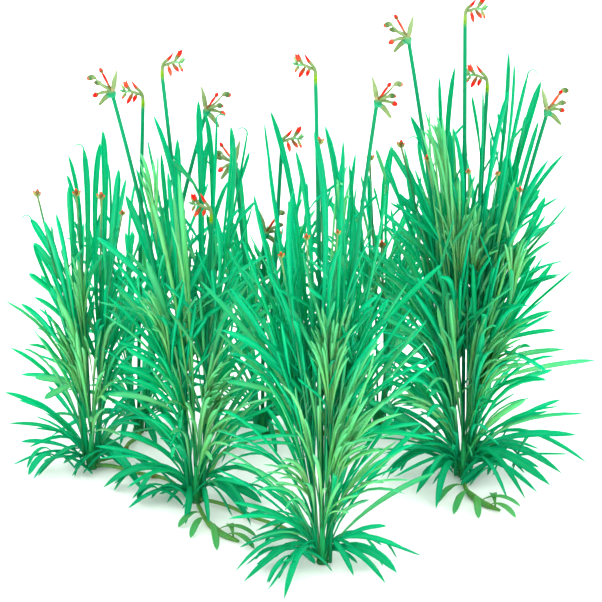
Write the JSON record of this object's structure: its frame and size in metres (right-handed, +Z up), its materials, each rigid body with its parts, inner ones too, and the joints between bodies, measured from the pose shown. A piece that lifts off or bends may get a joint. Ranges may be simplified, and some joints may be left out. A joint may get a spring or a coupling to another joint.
{
  "type": "buffalo grass",
  "caption": "Stand of low creeping grass: leafy tufts on crowns joined by creeping stems, with thin flowering stems that end in comb-like and fan-like heads.",
  "frame": {"origin": "on the ground under the middle of the stand", "axes": "+X to the viewer's right, +Y away from the viewer, +Z up; the front is toward -Y"},
  "size_m": [0.335, 0.2702, 0.305],
  "materials": {
    "leaf": "satin",
    "young_leaf": "satin",
    "flower_stem": "satin",
    "flower_head": "matte",
    "bur": "matte",
    "creeping_stem": "matte"
  },
  "bodies": {
    "root": {"creeping_stems": "creeping_stem", "culm_midwest_1": "flower_stem", "comb_head_midwest_1": "flower_head", "culm_midwest_2": "flower_stem", "fan_head_midwest_2": "flower_head", "culm_midwest_3": "flower_stem", "comb_head_midwest_3": "flower_head", "culm_back_west_4": "flower_stem", "comb_head_back_west_4": "flower_head", "culm_back_west_5": "flower_stem", "fan_head_back_west_5": "flower_head", "culm_front_6": "flower_stem", "comb_head_front_6": "flower_head", "culm_front_7": "flower_stem", "fan_head_front_7": "flower_head", "culm_back_mid_8": "flower_stem", "comb_head_back_mid_8": "flower_head", "culm_back_mid_9": "flower_stem", "fan_head_back_mid_9": "flower_head", "culm_back_mid_10": "flower_stem", "fan_head_back_mid_10": "flower_head", "culm_east_11": "flower_stem", "fan_head_east_11": "flower_head", "culm_east_12": "flower_stem", "comb_head_east_12": "flower_head", "culm_east_13": "flower_stem", "comb_head_east_13": "flower_head", "culm_east_14": "flower_stem", "fan_head_east_14": "flower_head", "bur_stem_west_1": "bur", "bur_stem_west_2": "bur", "bur_stem_west_3": "bur", "bur_stem_front_4": "bur", "bur_stem_east_5": "bur", "bur_stem_back_east_6": "bur", "bur_stem_back_east_7": "bur", "runner_midwest": "creeping_stem", "runner_east": "creeping_stem", "leaves_west_left": "leaf", "leaves_west_right": "leaf", "leaves_west_young": "young_leaf", "leaves_midwest_left": "leaf", "leaves_midwest_right": "leaf", "leaves_midwest_young": "young_leaf", "leaves_front_left": "leaf", "leaves_front_right": "leaf", "leaves_front_young": "young_leaf", "leaves_east_left": "leaf", "leaves_east_right": "leaf", "leaves_east_young": "young_leaf", "leaves_back_west_left": "leaf", "leaves_back_west_right": "leaf", "leaves_back_mid_left": "leaf", "leaves_back_mid_right": "leaf", "leaves_back_east_left": "leaf", "leaves_back_east_right": "leaf"}
  },
  "joints": []
}
